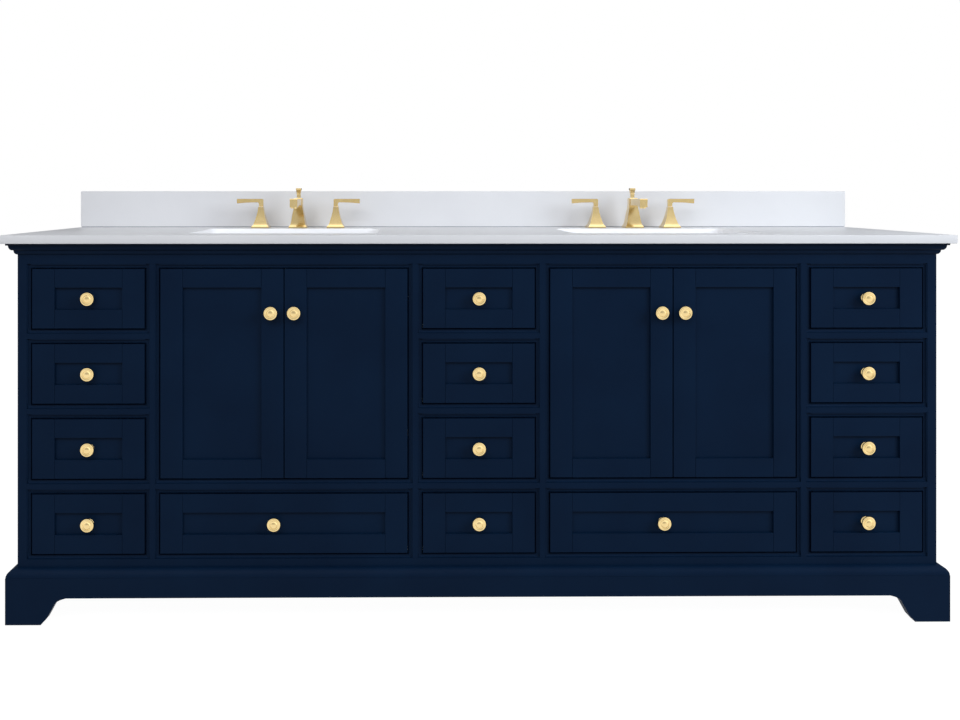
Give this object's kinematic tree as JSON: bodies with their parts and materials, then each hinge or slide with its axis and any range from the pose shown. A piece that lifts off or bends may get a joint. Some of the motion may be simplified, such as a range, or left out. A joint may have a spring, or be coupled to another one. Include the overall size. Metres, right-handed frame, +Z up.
{
  "type": "bathroom vanity cabinet",
  "caption": "Inset-front double-basin vanity cabinet with bracket feet, beaded face frame, stone top, backsplash, undermount basins and widespread faucets.",
  "frame": {"origin": "middle of the footprint at floor level", "axes": "+X to the right along the cabinet, +Y from the front to the wall, +Z up"},
  "size_m": [2.134, 0.559, 0.9795],
  "materials": {
    "navy_paint": "satin navy paint on wood",
    "birch_plywood": "clear satin lacquer",
    "white_quartz": "polished",
    "white_ceramic": "glossy glaze",
    "polished_brass": "polished",
    "zinc_plated_steel": "zinc plated"
  },
  "bodies": {
    "root": {"face_frame": "navy_paint", "face_frame_beading": "navy_paint", "side_panels_and_partitions": "birch_plywood", "cabinet_floor_and_shelves": "birch_plywood", "back_panels_and_stretchers": "birch_plywood", "crown_and_cap_mouldings": "navy_paint", "base_plinth": "navy_paint", "levelling_feet": "birch_plywood", "countertop": "white_quartz", "backsplash": "white_quartz", "sink_basins": "white_ceramic", "drain_fittings": "polished_brass", "faucet_bodies": "polished_brass", "slide_rails_and_hinge_plates": "zinc_plated_steel"},
    "left_drawer_1": {"left_drawer_1": "navy_paint", "left_drawer_1_hardware": "polished_brass"},
    "left_drawer_2": {"left_drawer_2": "navy_paint", "left_drawer_2_hardware": "polished_brass"},
    "left_drawer_3": {"left_drawer_3": "navy_paint", "left_drawer_3_hardware": "polished_brass"},
    "left_drawer_4": {"left_drawer_4": "navy_paint", "left_drawer_4_hardware": "polished_brass"},
    "middle_drawer_1": {"middle_drawer_1": "navy_paint", "middle_drawer_1_hardware": "polished_brass"},
    "middle_drawer_2": {"middle_drawer_2": "navy_paint", "middle_drawer_2_hardware": "polished_brass"},
    "middle_drawer_3": {"middle_drawer_3": "navy_paint", "middle_drawer_3_hardware": "polished_brass"},
    "middle_drawer_4": {"middle_drawer_4": "navy_paint", "middle_drawer_4_hardware": "polished_brass"},
    "right_drawer_1": {"right_drawer_1": "navy_paint", "right_drawer_1_hardware": "polished_brass"},
    "right_drawer_2": {"right_drawer_2": "navy_paint", "right_drawer_2_hardware": "polished_brass"},
    "right_drawer_3": {"right_drawer_3": "navy_paint", "right_drawer_3_hardware": "polished_brass"},
    "right_drawer_4": {"right_drawer_4": "navy_paint", "right_drawer_4_hardware": "polished_brass"},
    "left_wide_drawer": {"left_wide_drawer": "navy_paint", "left_wide_drawer_hardware": "polished_brass"},
    "right_wide_drawer": {"right_wide_drawer": "navy_paint", "right_wide_drawer_hardware": "polished_brass"},
    "door_1": {"door_1": "navy_paint", "door_1_hardware": "polished_brass"},
    "door_2": {"door_2": "navy_paint", "door_2_hardware": "polished_brass"},
    "door_3": {"door_3": "navy_paint", "door_3_hardware": "polished_brass"},
    "door_4": {"door_4": "navy_paint", "door_4_hardware": "polished_brass"},
    "left_hot_lever": {"left_hot_lever": "polished_brass"},
    "left_cold_lever": {"left_cold_lever": "polished_brass"},
    "right_hot_lever": {"right_hot_lever": "polished_brass"},
    "right_cold_lever": {"right_cold_lever": "polished_brass"},
    "left_lift_rod": {"left_lift_rod": "polished_brass"},
    "right_lift_rod": {"right_lift_rod": "polished_brass"},
    "left_pivot_rod": {"left_pivot_rod": "zinc_plated_steel"},
    "right_pivot_rod": {"right_pivot_rod": "zinc_plated_steel"},
    "left_stopper": {"left_stopper": "polished_brass"},
    "right_stopper": {"right_stopper": "polished_brass"}
  },
  "joints": [
    {"name": "left_drawer_1_slide", "type": "slide", "parent": "root", "child": "left_drawer_1", "axis": [0, -1, 0], "range_m": [0, 0.34]},
    {"name": "left_drawer_2_slide", "type": "slide", "parent": "root", "child": "left_drawer_2", "axis": [0, -1, 0], "range_m": [0, 0.34]},
    {"name": "left_drawer_3_slide", "type": "slide", "parent": "root", "child": "left_drawer_3", "axis": [0, -1, 0], "range_m": [0, 0.34]},
    {"name": "left_drawer_4_slide", "type": "slide", "parent": "root", "child": "left_drawer_4", "axis": [0, -1, 0], "range_m": [0, 0.34]},
    {"name": "middle_drawer_1_slide", "type": "slide", "parent": "root", "child": "middle_drawer_1", "axis": [0, -1, 0], "range_m": [0, 0.34]},
    {"name": "middle_drawer_2_slide", "type": "slide", "parent": "root", "child": "middle_drawer_2", "axis": [0, -1, 0], "range_m": [0, 0.34]},
    {"name": "middle_drawer_3_slide", "type": "slide", "parent": "root", "child": "middle_drawer_3", "axis": [0, -1, 0], "range_m": [0, 0.34]},
    {"name": "middle_drawer_4_slide", "type": "slide", "parent": "root", "child": "middle_drawer_4", "axis": [0, -1, 0], "range_m": [0, 0.34]},
    {"name": "right_drawer_1_slide", "type": "slide", "parent": "root", "child": "right_drawer_1", "axis": [0, -1, 0], "range_m": [0, 0.34]},
    {"name": "right_drawer_2_slide", "type": "slide", "parent": "root", "child": "right_drawer_2", "axis": [0, -1, 0], "range_m": [0, 0.34]},
    {"name": "right_drawer_3_slide", "type": "slide", "parent": "root", "child": "right_drawer_3", "axis": [0, -1, 0], "range_m": [0, 0.34]},
    {"name": "right_drawer_4_slide", "type": "slide", "parent": "root", "child": "right_drawer_4", "axis": [0, -1, 0], "range_m": [0, 0.34]},
    {"name": "left_wide_drawer_slide", "type": "slide", "parent": "root", "child": "left_wide_drawer", "axis": [0, -1, 0], "range_m": [0, 0.34]},
    {"name": "right_wide_drawer_slide", "type": "slide", "parent": "root", "child": "right_wide_drawer", "axis": [0, -1, 0], "range_m": [0, 0.34]},
    {"name": "door_1_hinge", "type": "hinge", "parent": "root", "child": "door_1", "pos_m": [-0.7188, -0.249, 0.55905], "axis": [0, 0, -1], "range_deg": [0, 90]},
    {"name": "door_2_hinge", "type": "hinge", "parent": "root", "child": "door_2", "pos_m": [-0.1596, -0.249, 0.55905], "axis": [0, 0, 1], "range_deg": [0, 90]},
    {"name": "door_3_hinge", "type": "hinge", "parent": "root", "child": "door_3", "pos_m": [0.1596, -0.249, 0.55905], "axis": [0, 0, -1], "range_deg": [0, 90]},
    {"name": "door_4_hinge", "type": "hinge", "parent": "root", "child": "door_4", "pos_m": [0.7188, -0.249, 0.55905], "axis": [0, 0, 1], "range_deg": [0, 90]},
    {"name": "left_hot_lever_turn", "type": "hinge", "parent": "root", "child": "left_hot_lever", "pos_m": [-0.5566, 0.1945, 0.938], "axis": [0, 0, 1], "range_deg": [0, 90]},
    {"name": "left_cold_lever_turn", "type": "hinge", "parent": "root", "child": "left_cold_lever", "pos_m": [-0.3534, 0.1945, 0.938], "axis": [0, 0, -1], "range_deg": [0, 90]},
    {"name": "right_hot_lever_turn", "type": "hinge", "parent": "root", "child": "right_hot_lever", "pos_m": [0.3534, 0.1945, 0.938], "axis": [0, 0, 1], "range_deg": [0, 90]},
    {"name": "right_cold_lever_turn", "type": "hinge", "parent": "root", "child": "right_cold_lever", "pos_m": [0.5566, 0.1945, 0.938], "axis": [0, 0, -1], "range_deg": [0, 90]},
    {"name": "left_lift_rod_slide", "type": "slide", "parent": "root", "child": "left_lift_rod", "axis": [0, 0, 1], "range_m": [0, 0.035]},
    {"name": "left_pivot_rod_rock", "type": "hinge", "parent": "root", "child": "left_pivot_rod", "pos_m": [-0.455, 0.052, 0.6405], "axis": [1, 0, 0], "range_deg": [0, 14]},
    {"name": "left_stopper_slide", "type": "slide", "parent": "root", "child": "left_stopper", "axis": [0, 0, 1], "range_m": [-0.0055, 0]},
    {"name": "right_lift_rod_slide", "type": "slide", "parent": "root", "child": "right_lift_rod", "axis": [0, 0, 1], "range_m": [0, 0.035]},
    {"name": "right_pivot_rod_rock", "type": "hinge", "parent": "root", "child": "right_pivot_rod", "pos_m": [0.455, 0.052, 0.6405], "axis": [1, 0, 0], "range_deg": [0, 14]},
    {"name": "right_stopper_slide", "type": "slide", "parent": "root", "child": "right_stopper", "axis": [0, 0, 1], "range_m": [-0.0055, 0]}
  ],
  "couplings": [
    {"joint": "left_pivot_rod_rock", "follows": "left_lift_rod_slide", "rad_per_m": 6.7},
    {"joint": "left_stopper_slide", "follows": "left_lift_rod_slide", "ratio": -0.15},
    {"joint": "right_pivot_rod_rock", "follows": "right_lift_rod_slide", "rad_per_m": 6.7},
    {"joint": "right_stopper_slide", "follows": "right_lift_rod_slide", "ratio": -0.15}
  ]
}
